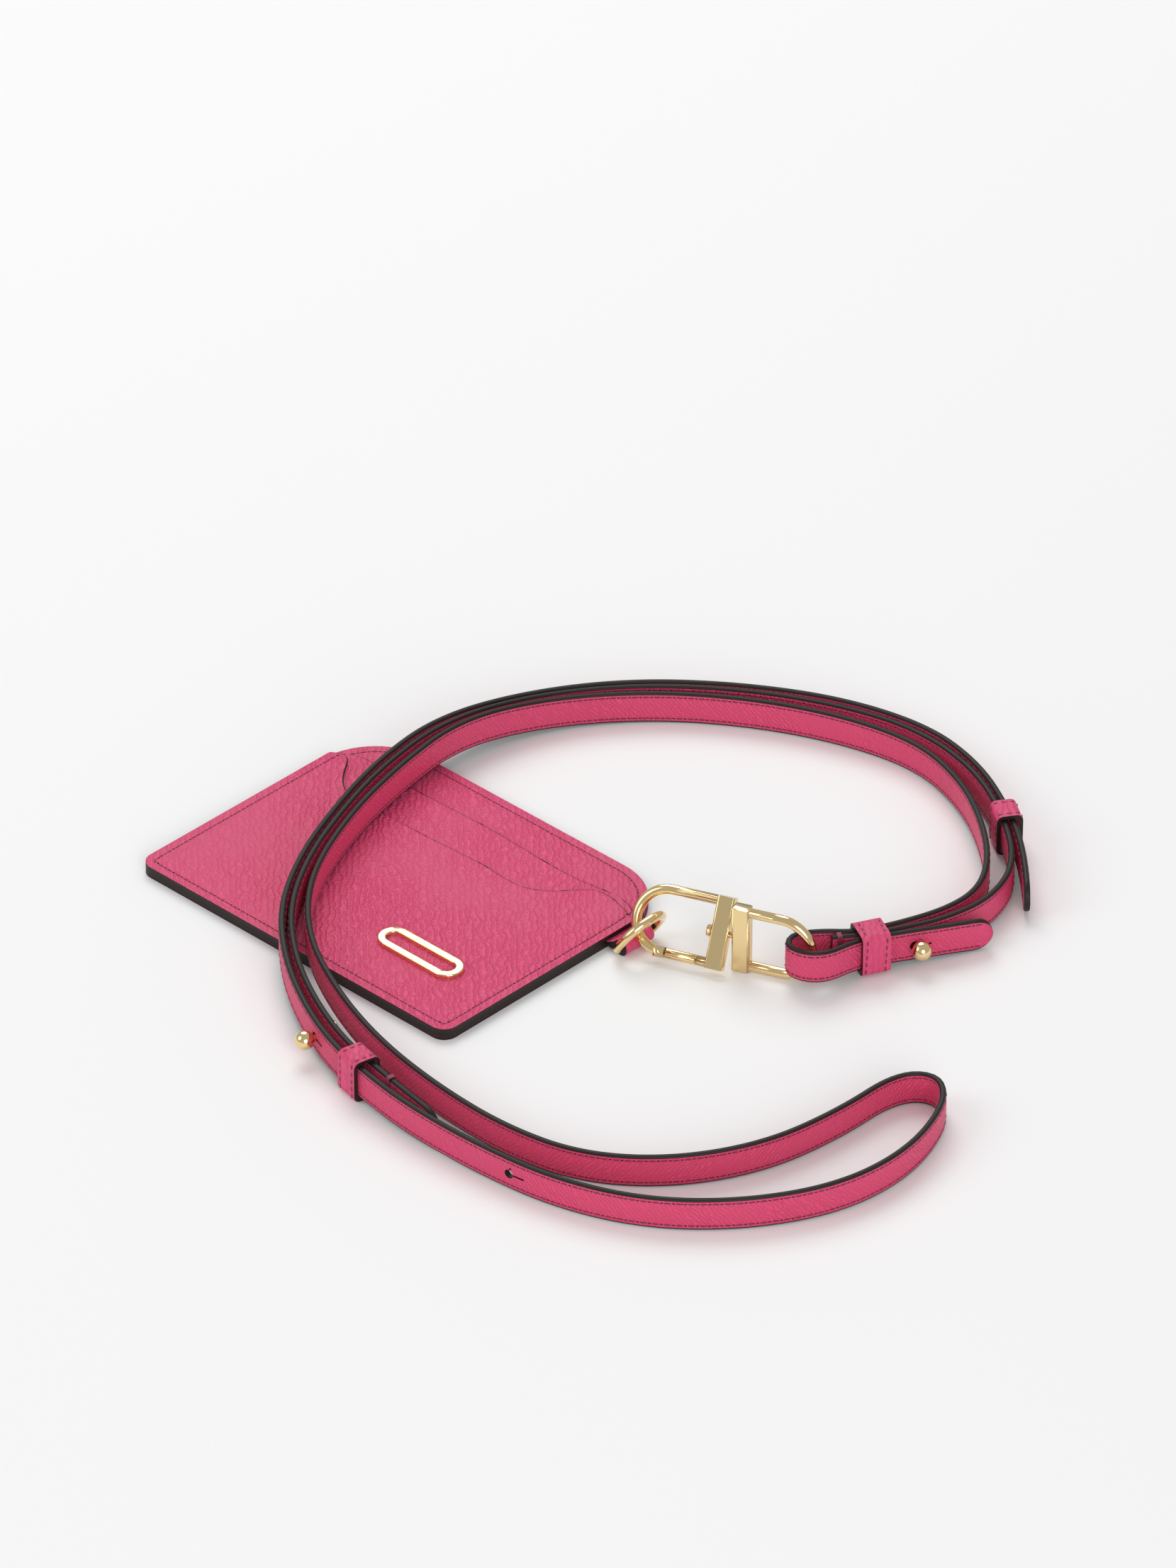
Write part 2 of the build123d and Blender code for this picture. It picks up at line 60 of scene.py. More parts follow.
# ---- strap routes: centre line, then the height of the strap's lower edge ---------------------
LONG_ROUTE = [
    (0.1232, 0.0826, 0.0000), (0.1180, 0.0720, 0.0007), (0.1123, 0.0610, 0.0014),
    (0.1070, 0.0507, 0.0017), (0.1067, 0.0379, 0.0031), (0.0984, 0.0340, 0.0033),
    (0.0946, 0.0393, 0.0032), (0.0986, 0.0464, 0.0026), (0.1042, 0.0525, 0.0019),
    (0.1086, 0.0626, 0.0014), (0.1128, 0.0770, 0.0008), (0.1126, 0.0892, 0.0006),
    (0.1054, 0.1010, 0.0009), (0.0934, 0.1114, 0.0014), (0.0774, 0.1216, 0.0006),
    (0.0580, 0.1276, 0.0000), (0.0367, 0.1239, 0.0000), (0.0136, 0.1136, 0.0000),
    (-0.0084, 0.0974, 0.0000), (-0.0250, 0.0750, 0.0008), (-0.0312, 0.0500, 0.0035),
    (-0.0276, 0.0246, 0.0038), (-0.0209, -0.0006, 0.0038), (-0.0090, -0.0264, 0.0038),
    (0.0084, -0.0444, 0.0036), (0.0294, -0.0550, 0.0022), (0.0510, -0.0616, 0.0010),
    (0.0740, -0.0646, 0.0002), (0.0974, -0.0650, 0.0000), (0.1186, -0.0604, 0.0000),
    (0.1360, -0.0464, 0.0000), (0.1476, -0.0260, 0.0000), (0.1512, -0.0034, 0.0000),
    (0.1508, 0.0176, 0.0000), (0.1590, 0.0244, 0.0000), (0.1680, 0.0164, 0.0000),
    (0.1744, -0.0036, 0.0000), (0.1724, -0.0254, 0.0000), (0.1610, -0.0460, 0.0000),
    (0.1436, -0.0626, 0.0000), (0.1218, -0.0720, 0.0000), (0.0980, -0.0752, 0.0002),
    (0.0750, -0.0760, 0.0009), (0.0576, -0.0740, 0.0014), (0.0410, -0.0700, 0.0012),
    (0.0240, -0.0626, 0.0018), (0.0086, -0.0530, 0.0030), (-0.0058, -0.0396, 0.0038),
    (-0.0176, -0.0206, 0.0038), (-0.0258, -0.0006, 0.0038), (-0.0328, 0.0214, 0.0038),
    (-0.0362, 0.0464, 0.0035), (-0.0310, 0.0730, 0.0008), (-0.0166, 0.0966, 0.0000),
    (0.0046, 0.1150, 0.0000), (0.0290, 0.1290, 0.0000), (0.0540, 0.1350, 0.0000),
    (0.0750, 0.1306, 0.0005), (0.0936, 0.1206, 0.0014), (0.1100, 0.1094, 0.0010),
    (0.1220, 0.0970, 0.0006)]
SHORT_ROUTE = [
    (0.1022, 0.0462, 0.0023), (0.1069, 0.0535, 0.0019), (0.1110, 0.0628, 0.0014),
    (0.1154, 0.0730, 0.0010), (0.1176, 0.0885, 0.0007), (0.1116, 0.1042, 0.0010),
    (0.0944, 0.1180, 0.0014), (0.0746, 0.1284, 0.0006), (0.0532, 0.1318, 0.0001),
    (0.0324, 0.1270, 0.0000), (0.0086, 0.1150, 0.0000), (-0.0140, 0.0964, 0.0000),
    (-0.0290, 0.0730, 0.0008), (-0.0338, 0.0470, 0.0035), (-0.0304, 0.0214, 0.0038),
    (-0.0234, -0.0010, 0.0038), (-0.0150, -0.0210, 0.0038), (-0.0032, -0.0390, 0.0038),
    (0.0110, -0.0516, 0.0030), (0.0260, -0.0602, 0.0018), (0.0430, -0.0672, 0.0012),
    (0.0600, -0.0709, 0.0014), (0.0720, -0.0726, 0.0010), (0.0830, -0.0740, 0.0006)]

# what sits on the straps
STUDS = ("stud_clasp", "stud_wrist")
THREAD_TIES = ("thread_tie_clasp", "thread_tie_wrist")
KEEPER_AT = {"keeper_clasp": 0.0102, "keeper_tip": 0.0825, "keeper_wrist": 0.4155}   # short strap
SPARE_HOLE_AT = 0.765                                                                # long strap
PIN_HOLE, SLIT_LENGTH, SLIT_WIDTH = 2.5 * MM, 4.5 * MM, 0.5 * MM
METAL_NODES = {
    "tab_ring": "tab_ring", "clasp_eye": "eye", "swivel_pin": "eye", "hook_body": "hook",
    "gate_pin": "hook", "gate": "gate", "emblem": "wallet", "stud_clasp_base": "wallet",
    "stud_clasp_ball": "wallet", "stud_wrist_base": "wallet", "stud_wrist_ball": "wallet"}

# filled while the operators run: the straps' lines, and the pieces that each strap carries
LINES = {}
CORD_PIECES = {"strap_long": [], "strap_short": []}


def hex_colour(text):
    """Linear colour with alpha from an sRGB hex value."""
    parts = [int(text[i:i + 2], 16) / 255 for i in (1, 3, 5)]
    linear = [c / 12.92 if c <= 0.04045 else ((c + 0.055) / 1.055) ** 2.4 for c in parts]
    return (*linear, 1.0)


def millimetres(name, description, value):
    """A length property with its default in metres."""
    return bpy.props.FloatProperty(name=name, description=description, default=value * MM,
                                   min=0.0, precision=5, unit="LENGTH")


def finish_colour(name, description, value):
    """A colour property with its default from a hex value."""
    return bpy.props.FloatVectorProperty(name=name, description=description, subtype="COLOR",
                                         size=4, min=0.0, max=1.0, default=hex_colour(value))


class WristletSizes(bpy.types.PropertyGroup):
    """Sizes of the leather work that the CAD plies leave plain."""
    strap_width: millimetres("Strap width", "Height of the strap as it stands on its edge", 9.0)
    strap_thickness: millimetres("Strap thickness", "Two skived leathers glued back to back", 1.6)
    strap_seam: millimetres("Strap seam", "Distance of the stitching from the strap's edge", 1.3)
    stitch_pitch: millimetres("Stitch pitch", "Distance from one stitch to the next", 2.9)
    stitch_length: millimetres("Stitch length", "Length of thread that shows", 1.9)
    stitch_width: millimetres("Stitch width", "Thickness of the sewing thread", 0.5)
    wallet_seam: millimetres("Wallet seam", "Distance of the stitching from the wallet's edge", 2.5)
    seam_sink: millimetres("Seam sink", "How far the seam pulls the leather down", 0.16)
    edge_sink: millimetres("Edge sink", "How far the plies thin towards the wallet's edge", 0.30)
    mouth_lift: millimetres("Mouth lift", "How far a card slot's mouth stands open", 0.25)
    grain_pitch: millimetres("Grain pitch", "Spacing of the wallet leather's wrinkles", 1.6)
    strap_grain_pitch: millimetres("Strap grain pitch", "Spacing of the strap leather's grain", 1.0)


class WristletColours(bpy.types.PropertyGroup):
    """Colours of the finishes."""
    leather: finish_colour("Wallet leather", "Dyed calf leather of the wallet", "#E04C78")
    strap_leather: finish_colour("Strap leather", "Dyed calf leather of the straps", "#E24A75")
    edge_paint: finish_colour("Edge paint", "Painted leather edges", "#1F1A18")
    gold: finish_colour("Gold", "Plated hardware", "#F0D6A0")
    thread: finish_colour("Thread", "Sewing thread", "#7E1D42")
    lining: finish_colour("Lining", "Woven pocket lining", "#9B2F52")
    floor: finish_colour("Floor", "Studio floor", "#F4F4F4")


# ---- materials ----------------------------------------------------------------------------------
def add_node(tree, kind, inputs=None, **settings):
    """Adds a node: settings are its properties, inputs are values or other nodes' outputs."""
    node = tree.nodes.new(kind)
    for key, value in settings.items():
        setattr(node, key, value)
    for key, value in (inputs or {}).items():
        if isinstance(value, bpy.types.NodeSocket):
            tree.links.new(value, node.inputs[key])
        else:
            node.inputs[key].default_value = value
    return node


def blank_material(name, **sockets):
    """A Principled material by name: its tree and its shader, with sockets set directly."""
    material = bpy.data.materials.new(name)
    material.use_nodes = True
    shader = material.node_tree.nodes["Principled BSDF"]
    for key, value in sockets.items():
        shader.inputs[key.replace("_", " ")].default_value = value
    return material, material.node_tree, shader


def grain_height(tree, place, pitch, turn):
    """Height of a wrinkled grain: long wavy creases a pitch apart, with finer creases across them."""
    turned = add_node(tree, "ShaderNodeMapping", {"Vector": place, "Rotation": (0, 0, turn)})
    long, short = [
        add_node(tree, "ShaderNodeTexWave",
                 {"Vector": turned.outputs[0], "Scale": 2 * pi / (20 * spacing), "Distortion": bend,
                  "Detail": 2.0, "Detail Scale": 1.4, "Detail Roughness": 0.55},
                 wave_type="BANDS", bands_direction=axis)
        for axis, spacing, bend in (("X", pitch, 7.0), ("Y", 0.6 * pitch, 7.0))]
    return add_node(tree, "ShaderNodeMath", {0: short.outputs["Fac"], 1: 0.3, 2: long.outputs["Fac"]},
                    operation="MULTIPLY_ADD")


def grained_leather(name, colour, place_of, pitch, turn, depth):
    """Calf leather, dyed through and embossed with a wrinkled grain: soft highlights on every wrinkle
    from its bump, and painted shade in its valleys, where the colour is darkened. place_of adds the node
    that says where."""
    material, tree, shader = blank_material(name, Roughness=0.48, Specular_IOR_Level=0.32)
    place = place_of(tree)
    grain = grain_height(tree, place, pitch, turn)
    fine = add_node(tree, "ShaderNodeTexNoise", {"Vector": place, "Scale": 2.6 / pitch, "Detail": 3.0})
    cloud = add_node(tree, "ShaderNodeTexNoise", {"Vector": place, "Scale": 0.05 / pitch, "Detail": 1.0})
    relief = add_node(tree, "ShaderNodeMapRange", {"Value": cloud.outputs[0], "From Min": 0.35,
                                                   "From Max": 0.65, "To Min": 0.35, "To Max": 1.0})
    ridge_height_and_shade = add_node(tree, "ShaderNodeMath", {0: grain.outputs[0], 1: relief.outputs[0]},
                    operation="MULTIPLY")
    # painted shade: the colour falls to 0.8 of itself in the grain's valleys, and more widely where the
    # cloud noise damps the relief
    valley_shade = add_node(tree, "ShaderNodeMix", {"Factor": ridge_height_and_shade.outputs[0],
                                              "A": tuple(0.80 * c for c in colour[:3]) + (1.0,),
                                              "B": tuple(colour)}, data_type="RGBA")
    tree.links.new(valley_shade.outputs["Result"], shader.inputs["Base Color"])
    height = add_node(tree, "ShaderNodeMath", {0: fine.outputs[0], 1: 0.3, 2: ridge_height_and_shade.outputs[0]},
                      operation="MULTIPLY_ADD")
    bump = add_node(tree, "ShaderNodeBump", {"Height": height.outputs[0], "Strength": 0.8,
                                             "Distance": depth})
    tree.links.new(bump.outputs[0], shader.inputs["Normal"])
    return material


def object_place(tree):
    """Object coordinates, in metres."""
    return add_node(tree, "ShaderNodeTexCoord").outputs["Object"]


def strap_place(tree):
    """The strap's own map: along it and across it, turned from millimetres to metres."""
    uv = add_node(tree, "ShaderNodeUVMap", uv_map="strap")
    return add_node(tree, "ShaderNodeVectorMath", {0: uv.outputs[0], 1: (MM, MM, MM)},
                    operation="MULTIPLY").outputs[0]


def painted_edge(name, colour):
    """Edge paint, brushed on in coats and burnished: a dark, slightly uneven satin skin."""
    material, tree, shader = blank_material(name, Base_Color=tuple(colour), Roughness=0.5,
                                            Specular_IOR_Level=0.3)
    noise = add_node(tree, "ShaderNodeTexNoise", {"Vector": object_place(tree), "Scale": 900.0,
                                                  "Detail": 2.0})
    bump = add_node(tree, "ShaderNodeBump", {"Height": noise.outputs[0], "Strength": 0.25,
                                             "Distance": 0.0001})
    tree.links.new(bump.outputs[0], shader.inputs["Normal"])
    return material


def polished_gold(name, colour):
    """Zinc die casting, polished and plated pale gold: sharp, bright reflections."""
    return blank_material(name, Base_Color=tuple(colour), Metallic=1.0, Roughness=0.13)[0]


def twisted_thread(name, colour):
    """Bonded polyester thread, twisted: a dull line with its plies 0.22 mm apart."""
    material, tree, shader = blank_material(name, Base_Color=tuple(colour), Roughness=0.62,
                                            Sheen_Weight=0.2)
    wave = add_node(tree, "ShaderNodeTexWave", {"Vector": object_place(tree), "Scale": 1400.0},
                    bands_direction="DIAGONAL")
    bump = add_node(tree, "ShaderNodeBump", {"Height": wave.outputs["Fac"], "Strength": 0.4,
                                             "Distance": 0.00006})
    tree.links.new(bump.outputs[0], shader.inputs["Normal"])
    return material


def woven_lining(name, colour):
    """Cotton twill lining, woven: matt, with a fine diagonal rib."""
    material, tree, shader = blank_material(name, Base_Color=tuple(colour), Roughness=0.85)
    wave = add_node(tree, "ShaderNodeTexWave", {"Vector": object_place(tree), "Scale": 700.0},
                    bands_direction="DIAGONAL")
    bump = add_node(tree, "ShaderNodeBump", {"Height": wave.outputs["Fac"], "Strength": 0.5,
                                             "Distance": 0.0001})
    tree.links.new(bump.outputs[0], shader.inputs["Normal"])
    return material


def finishes(context):
    """The object's materials, made once."""
    if "grained calf leather, wallet" not in bpy.data.materials:
        colours, sizes = context.scene.wristlet_colours, context.scene.wristlet_sizes
        grained_leather("grained calf leather, wallet", colours.leather, object_place,
                        sizes.grain_pitch, radians(-45), 0.00034)
        grained_leather("grained calf leather, strap", colours.strap_leather, strap_place,
                        sizes.strap_grain_pitch, radians(40), 0.00026)
        painted_edge("painted edge", colours.edge_paint)
        polished_gold("polished gold plate", colours.gold)
        twisted_thread("twisted thread", colours.thread)
        woven_lining("woven cotton lining", colours.lining)
        # painted shade: dark flat marks that stand for the shade inside the needle holes
        blank_material("needle hole", Base_Color=hex_colour("#4A1128"), Roughness=0.9)
    return bpy.data.materials


# ---- modelling helpers ---------------------------------------------------------------------------
def lone(piece):
    """Selects one piece and nothing else."""
    bpy.ops.object.select_all(action="DESELECT")
    piece.select_set(True)
    bpy.context.view_layer.objects.active = piece


def new_piece(name, mesh):
    """A fresh object for a mesh, alone in the selection."""
    piece = bpy.data.objects.new(name, mesh)
    bpy.context.collection.objects.link(piece)
    lone(piece)
    return piece


def settle(piece, body, nodes=()):
    """The piece's place goes into its mesh, it rides on its body and stands for its CAD nodes."""
    lone(piece)
    bpy.ops.object.transform_apply(location=True, rotation=True, scale=True)
    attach(piece, body)
    if nodes:
        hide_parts(*nodes)
    return piece


def smooth(piece, angle=35.0):
    """Smooth shading up to an angle."""
    lone(piece)
    bpy.ops.object.shade_smooth_by_angle(angle=radians(angle))


def from_node(node, name):
    """A copy of a CAD node's mesh with its doubles merged."""
    piece = new_piece(name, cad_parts[node].data.copy())
    piece.data.materials.clear()
    bpy.ops.object.mode_set(mode="EDIT")
    bpy.ops.mesh.select_all(action="SELECT")
    bpy.ops.mesh.remove_doubles(threshold=1e-6)
    bpy.ops.object.mode_set(mode="OBJECT")
    return piece


def dissolve_flats(piece, angle=0.5):
    """Turns coplanar triangles into whole faces."""
    lone(piece)
    bpy.ops.object.mode_set(mode="EDIT")
    bpy.ops.mesh.select_all(action="SELECT")
    bpy.ops.mesh.dissolve_limited(angle_limit=radians(angle))
    bpy.ops.object.mode_set(mode="OBJECT")


def select_faces(piece, test):
    """Selects the faces that pass a test, in face mode."""
    lone(piece)
    bpy.ops.object.mode_set(mode="EDIT")
    bpy.ops.mesh.select_mode(type="FACE")
    bpy.ops.mesh.select_all(action="DESELECT")
    bpy.ops.object.mode_set(mode="OBJECT")
    for face in piece.data.polygons:
        face.select = test(face)
    bpy.ops.object.mode_set(mode="EDIT")


def paint_faces(piece, materials, index_of):
    """Gives the piece its materials, one for each face."""
    piece.data.materials.clear()
    for material in materials:
        piece.data.materials.append(material)
    for face in piece.data.polygons:
        face.material_index = index_of(face)


def small_shape(name, length, width, height):
    """Template of a stitch or of a needle hole's painted shade: a sphere of a few faces pulled long."""
    bpy.ops.object.select_all(action="DESELECT")
    bpy.ops.mesh.primitive_uv_sphere_add(segments=8, ring_count=4, radius=0.5)
    shape = bpy.context.object
    bpy.ops.object.mode_set(mode="EDIT")
    bpy.ops.transform.rotate(value=pi / 2, orient_axis="Y", center_override=(0, 0, 0))
    bpy.ops.transform.resize(value=(length, width, height), center_override=(0, 0, 0))
    bpy.ops.object.mode_set(mode="OBJECT")
    mesh = shape.data.copy()
    bpy.data.objects.remove(shape)
    return mesh


def lay_copies(name, template, places, material):
    """One mesh of many copies of a template, each at its own place."""
    corners = [v.co.copy() for v in template.vertices]
    around = [tuple(p.vertices) for p in template.polygons]
    points = [tuple(place @ co) for place in places for co in corners]
    faces = [tuple(i + n * len(corners) for i in face) for n in range(len(places)) for face in around]
    mesh = bpy.data.meshes.new(name)
    mesh.from_pydata(points, [], faces)
    mesh.materials.append(material)
    piece = new_piece(name, mesh)
    bpy.ops.object.shade_smooth()
    return piece


def basis(at, along, across, out):
    """Matrix from a template's own x, y, z to a place."""
    turn = Matrix((along, across, out)).transposed()
    return Matrix.Translation(at) @ turn.to_4x4()


# ---- straps ----------------------------------------------------------------------------------------
class StrapLine:
    """A strap's centre line, read back from its smooth spline at any distance from its start."""

    def __init__(self, name, route, width):
        curve = bpy.data.curves.new(name, "CURVE")
        curve.dimensions = "3D"
        curve.resolution_u = 10
        spline = curve.splines.new("NURBS")
        spline.points.add(len(route) - 1)
        for point, (x, y, low) in zip(spline.points, route):
            point.co = (x, y, low + width / 2, 1)
        spline.order_u = 3
        spline.use_endpoint_u = True
        holder = bpy.data.objects.new(name, curve)
        bpy.context.collection.objects.link(holder)
        mesh = bpy.data.meshes.new_from_object(holder)
        self.points = [v.co.copy() for v in mesh.vertices]
        bpy.data.objects.remove(holder)
        bpy.data.curves.remove(curve)
        bpy.data.meshes.remove(mesh)
        self.stations = [0.0]
        for a, b in zip(self.points, self.points[1:]):
            self.stations.append(self.stations[-1] + (b - a).length)
        self.length = self.stations[-1]

    def point(self, distance):
        """The centre line's place at a distance from the start."""
        distance = min(max(distance, 0.0), self.length)
        n = min(max(bisect_right(self.stations, distance) - 1, 0), len(self.points) - 2)
        share = (distance - self.stations[n]) / (self.stations[n + 1] - self.stations[n])
        return self.points[n].lerp(self.points[n + 1], share)

    def at(self, distance):
        """Place, direction along, level direction to the right and direction up the strap."""
        low, high = max(distance - 0.0015, 0.0), min(distance + 0.0015, self.length)
        along = (self.point(high) - self.point(low)).normalized()
        right = along.cross(Vector((0, 0, 1))).normalized()
        return self.point(distance), along, right, right.cross(along).normalized()


def strap_line(name):
    """One of the two straps' lines, made once."""
    if name not in LINES:
        route = LONG_ROUTE if name == "strap_long" else SHORT_ROUTE
        LINES[name] = StrapLine(name + "_line", route, bpy.context.scene.wristlet_sizes.strap_width)
    return LINES[name]


def tip_share(distance, length, radius, tips):
    """How much of the strap's width is left at a distance from its rounded tips."""
    share = 1.0
    for tip in tips:
        gap = distance if tip == "start" else length - distance
        if gap < radius:
            share = min(share, sqrt(max(radius ** 2 - (radius - gap) ** 2, 0.0)) / radius)
    return max(share, 0.08)


def ribbon(name, line, width, thick, seam, tips, step=0.0018):
    """Flat strap on its edge: two stitched faces that crown between their seams, and rounded edges."""
    half, side = width / 2, thick / 2
    wall = [(side - 0.02 * MM, -half + 0.6 * MM), (side - 0.10 * MM, -half + seam), (side, -half + 2.1 * MM),
            (side + 0.05 * MM, 0.0), (side, half - 2.1 * MM), (side - 0.10 * MM, half - seam),
            (side - 0.02 * MM, half - 0.6 * MM)]
    cap = [(side - 0.16 * MM, half - 0.22 * MM), (side - 0.42 * MM, half - 0.02 * MM)]
    top = cap + [(-x, y) for x, y in reversed(cap)]
    section = wall + top + [(-x, -y) for x, y in wall] + [(-x, -y) for x, y in top]
    leather = set(range(len(wall) - 1)) | set(range(len(wall) + len(top), 2 * len(wall) + len(top) - 1))
    stops = [i * step for i in range(int(line.length / step) + 1)] + [line.length]
    for tip in tips:
        near = [0.0, 0.0001, 0.0004, 0.0009, 0.0015, 0.0023, 0.0032]
        stops += near if tip == "start" else [line.length - d for d in near]
    stops = sorted(set(stops))
    points, faces, corners = [], [], []
    for distance in stops:
        at, along, right, up = line.at(distance)
        share = tip_share(distance, line.length, half, tips)
        points += [at + right * x + up * y * share for x, y in section]
    count = len(section)
    for n in range(len(stops) - 1):
        for k in range(count):
            m = (k + 1) % count
            faces.append((n * count + k, n * count + m, (n + 1) * count + m, (n + 1) * count + k))
            corners.append(((stops[n], section[k][1]), (stops[n], section[m][1]),
                            (stops[n + 1], section[m][1]), (stops[n + 1], section[k][1])))
    faces.append(tuple(range(count)))
    faces.append(tuple(range((len(stops) - 1) * count, len(stops) * count)))
    corners += [[(0.0, y) for x, y in section]] * 2
    mesh = bpy.data.meshes.new(name)
    mesh.from_pydata([tuple(p) for p in points], [], faces)
    layer = mesh.uv_layers.new(name="strap")
    flat = [(u / MM, v / MM) for face in corners for u, v in face]
    for loop, pair in zip(layer.data, flat):
        loop.uv = pair
    piece = new_piece(name, mesh)
    materials = finishes(bpy.context)
    paint_faces(piece, (materials["grained calf leather, strap"], materials["painted edge"]),
                lambda face: 0 if face.index < (len(stops) - 1) * count and face.index % count in leather
                else 1)
    bpy.ops.object.mode_set(mode="EDIT")
    bpy.ops.mesh.select_all(action="SELECT")
    bpy.ops.mesh.normals_make_consistent(inside=False)
    bpy.ops.object.mode_set(mode="OBJECT")
    smooth(piece, 50.0)
    return piece


def strap_seams(line, sizes, ends):
    """Places of the stitches and of the needle holes' painted shade, on both faces along both edges."""
    stitches, holes = [], []
    half, side = sizes.strap_width / 2, sizes.strap_thickness / 2
    count = int((line.length - ends[0] - ends[1]) / sizes.stitch_pitch)
    for n in range(count):
        distance = ends[0] + n * sizes.stitch_pitch
        at, along, right, up = line.at(distance)
        hole_at, hole_along, hole_right, hole_up = line.at(distance + sizes.stitch_pitch / 2)
        for out in (-1, 1):
            for edge in (-1, 1):
                rise = edge * (half - sizes.strap_seam)
                face = at + right * out * (side - 0.05 * MM) + up * rise
                stitches.append(basis(face, along, right.cross(along) * out, right * out))
                face = hole_at + hole_right * out * (side - 0.10 * MM) + hole_up * rise
                holes.append(basis(face, hole_along, hole_right.cross(hole_along) * out,
                                   hole_right * out))
    return stitches, holes


def cut_through(piece, place, reach):
    """Cuts a pin hole and the slit beside it through a strap."""
    for kind in ("hole", "slit"):
        bpy.ops.object.select_all(action="DESELECT")
        if kind == "hole":
            bpy.ops.mesh.primitive_cylinder_add(vertices=20, radius=PIN_HOLE / 2, depth=reach)
        else:
            bpy.ops.mesh.primitive_cube_add(size=1.0)
        cutter = bpy.context.object
        if kind == "slit":
            bpy.ops.object.mode_set(mode="EDIT")
            bpy.ops.transform.resize(value=(SLIT_LENGTH, SLIT_WIDTH, reach), center_override=(0, 0, 0))
            bpy.ops.transform.translate(value=(-SLIT_LENGTH / 2, 0, 0))
            bpy.ops.object.mode_set(mode="OBJECT")
        cutter.data.transform(place)
        cutter.data.materials.append(bpy.data.materials["painted edge"])
        lone(piece)
        cut = piece.modifiers.new("cut", "BOOLEAN")
        cut.operation, cut.solver, cut.object = "DIFFERENCE", "EXACT", cutter
        cut.material_mode = "TRANSFER"
        bpy.ops.object.modifier_apply(modifier="cut")
        bpy.data.objects.remove(cutter)


def passing_distances(line, place):
    """Distances along a line where it passes nearest to a place, one for each layer of the strap."""
    steps = [n * MM for n in range(int(line.length / MM))]
    gaps = [(line.point(d) - place).length for d in steps]
    return [steps[n] for n in range(1, len(gaps) - 1)
            if gaps[n] < 6.0 * MM and gaps[n - 1] >= gaps[n] < gaps[n + 1]]


def pierce(strap, line):
    """Cuts the stud holes and the spare hole, each with its slit, through the long strap."""
    spots = [SPARE_HOLE_AT]
    for stud in STUDS:
        low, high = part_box(stud + "_ball")
        spots += passing_distances(line, (low + high) / 2)
    for distance in spots:
        at, along, right, up = line.at(distance)
        cut_through(strap, basis(at, along, right.cross(along), right), 3.0 * MM)


class WRISTLET_OT_straps(bpy.types.Operator):
    """Makes the long and the short strap with their seams, along their own lines"""
    bl_idname = "wristlet.straps"
    bl_label = "Straps"

    def execute(self, context):
        sizes, materials = context.scene.wristlet_sizes, finishes(context)
        stitch = small_shape("stitch", sizes.stitch_length, sizes.stitch_width, sizes.stitch_width * 0.7)
        hole = small_shape("hole", 0.8 * MM, 0.5 * MM, 0.16 * MM)
        nearby = {"strap_long": [], "strap_short": []}
        made = {}
        for name, tips in (("strap_long", ("start", "end")), ("strap_short", ("end",))):
            line = strap_line(name)
            strap = ribbon(name + "_leather", line, sizes.strap_width, sizes.strap_thickness,
                           sizes.strap_seam, tips)
            if name == "strap_long":
                pierce(strap, line)
            made[name] = settle(strap, "wallet", [name])
            ends = (4.0 * MM if "start" in tips else 1.5 * MM, 4.0 * MM)
            stitches, holes = strap_seams(line, sizes, ends)
            for kind, template, places, finish in (
                    ("stitches", stitch, stitches, "twisted thread"),
                    # the needle holes are dark flat marks of painted shade
                    ("needle_holes", hole, holes, "needle hole")):
                row = lay_copies(f"{name}_{kind}", template, places, materials[finish])
                nearby[name].append(settle(row, "wallet"))
        for name, strap in made.items():
            line = strap_line(name)
            tuple(line.point(0.0))
        return {"FINISHED"}


# ---- wallet ------------------------------------------------------------------------------------------
WALLET_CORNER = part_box("base_panel")[1]
HALF_L, HALF_W = WALLET_CORNER.x, WALLET_CORNER.y
MOUTH_R, BASE_R = 19.0 * MM, 4.0 * MM
PLIES = ("back_panel", "base_panel", "upper_slot_panel", "lower_slot_panel")


def edge_distance(x, y):
    """Distance from a point inside the wallet to its outline."""
    r = MOUTH_R if y > 0 else BASE_R
    dx, dy = abs(x) - HALF_L + r, abs(y) - HALF_W + r
    return r - hypot(max(dx, 0.0), max(dy, 0.0)) - min(max(dx, dy), 0.0)


def soft_sink(x, y, sizes):
    """How far the leather lies below its flat height: thinner at the edge, pulled down at the seam."""
    gap = edge_distance(x, y)
    share = min(max(gap / (6.5 * MM), 0.0), 1.0)
    edge = sizes.edge_sink * (1 - share * share * (3 - 2 * share))
    seam = sizes.seam_sink * 2.718 ** (-((gap - sizes.wallet_seam) / (0.45 * MM)) ** 2)
    return edge + seam


def inset_rings(piece, top, rings):
    """Rings of faces that follow the outline of the top, to shape its seam."""
    select_faces(piece, lambda face: face.normal.z > 0.9 and face.center.z > top - 0.05 * MM)
    for ring in rings:
        bpy.ops.mesh.inset(thickness=ring, depth=0.0, use_even_offset=True)
    bpy.ops.object.mode_set(mode="OBJECT")


def grid_cuts(piece, step, seam):
    """Cuts a ply into a grid, closer at its seams, so that it can bend softly."""
    lone(piece)
    bpy.ops.object.mode_set(mode="EDIT")
    for normal, half in (((1, 0, 0), HALF_L), ((0, 1, 0), HALF_W)):
        count = int(2 * half / step)
        near = [half - seam + k * 0.3 * MM for k in range(-3, 4)] + [half - 0.4 * MM]
        places = [-half + n * 2 * half / count for n in range(2, count - 1)]
        for place in places + near + [-place for place in near]:
            bpy.ops.mesh.select_all(action="SELECT")
            bpy.ops.mesh.bisect(plane_co=tuple(place * c for c in normal), plane_no=normal)
    bpy.ops.object.mode_set(mode="OBJECT")


